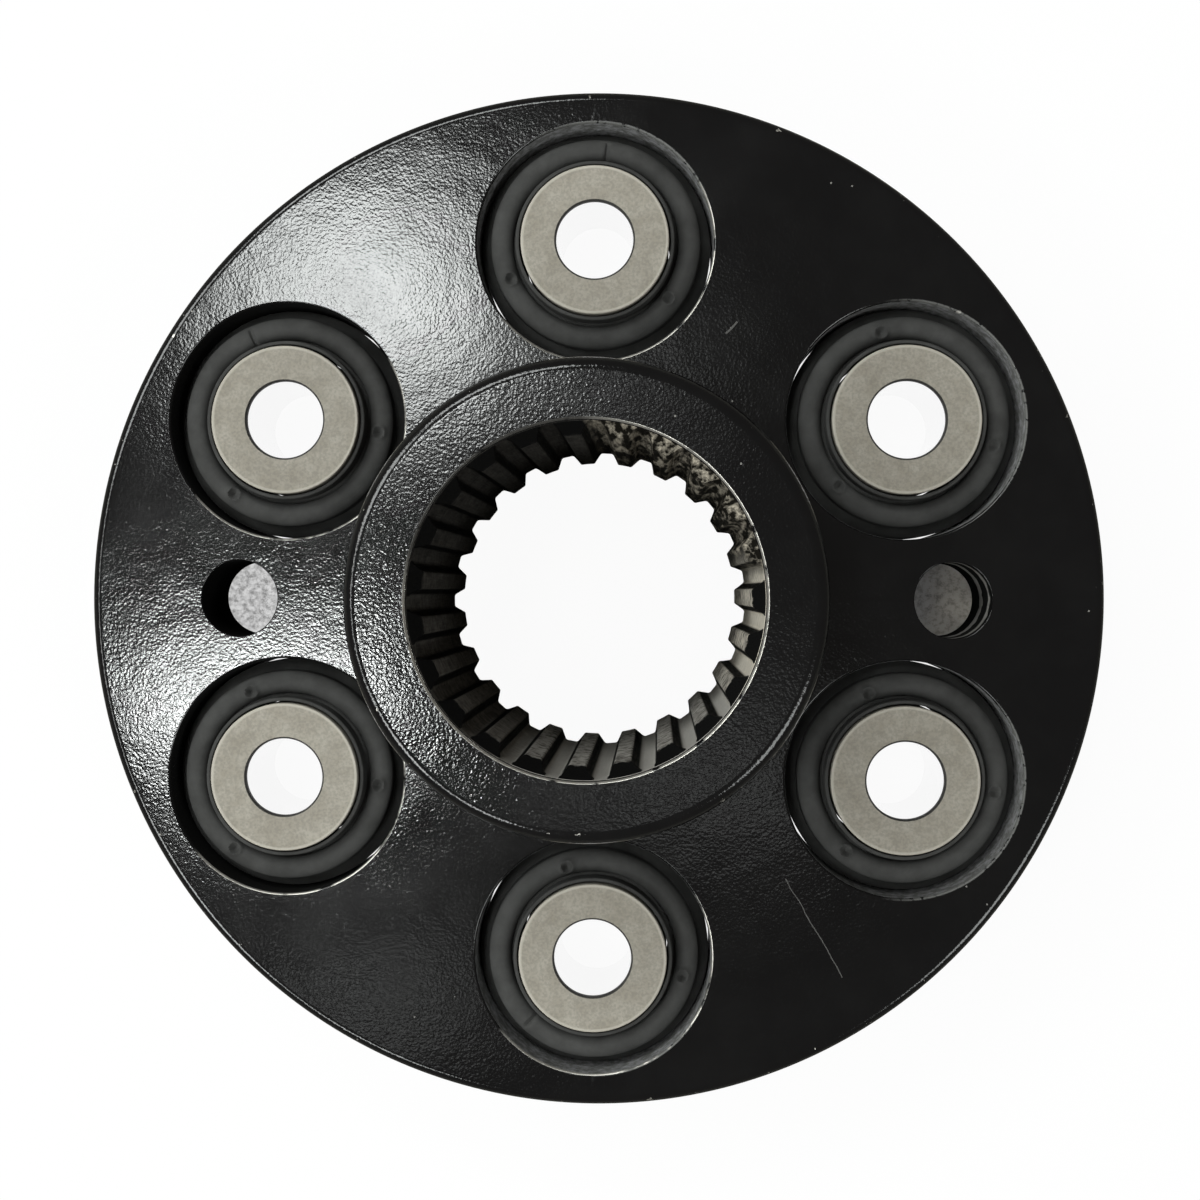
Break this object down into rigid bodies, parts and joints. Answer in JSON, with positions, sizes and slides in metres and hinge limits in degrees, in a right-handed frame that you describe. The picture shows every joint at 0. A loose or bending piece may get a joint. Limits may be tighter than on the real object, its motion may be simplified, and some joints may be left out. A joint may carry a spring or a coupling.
{
  "type": "drive coupling",
  "caption": "Flexible drive coupling: a round flange with a splined hub, and rubber bushes on steel bolt sleeves round it.",
  "frame": {"origin": "on the coupling's axis, at the rear end face of the hub, on which it rests", "axes": "+Z along the axis towards the long end of the hub, +Y towards the first bush, +X towards a jack hole"},
  "size_m": [0.165, 0.165, 0.062],
  "materials": {
    "black_paint": "gloss black enamel with an orange-peel surface, chipped at the edges",
    "rubber": "matt moulded black rubber",
    "sleeve_steel": "bare ground steel, slightly dulled"
  },
  "bodies": {
    "root": {"flange_hub": "black_paint", "rubber_bush_1": "rubber", "rubber_bush_2": "rubber", "rubber_bush_3": "rubber", "rubber_bush_4": "rubber", "rubber_bush_5": "rubber", "rubber_bush_6": "rubber", "bolt_sleeve_1": "sleeve_steel", "bolt_sleeve_2": "sleeve_steel", "bolt_sleeve_3": "sleeve_steel", "bolt_sleeve_4": "sleeve_steel", "bolt_sleeve_5": "sleeve_steel", "bolt_sleeve_6": "sleeve_steel"}
  },
  "joints": []
}
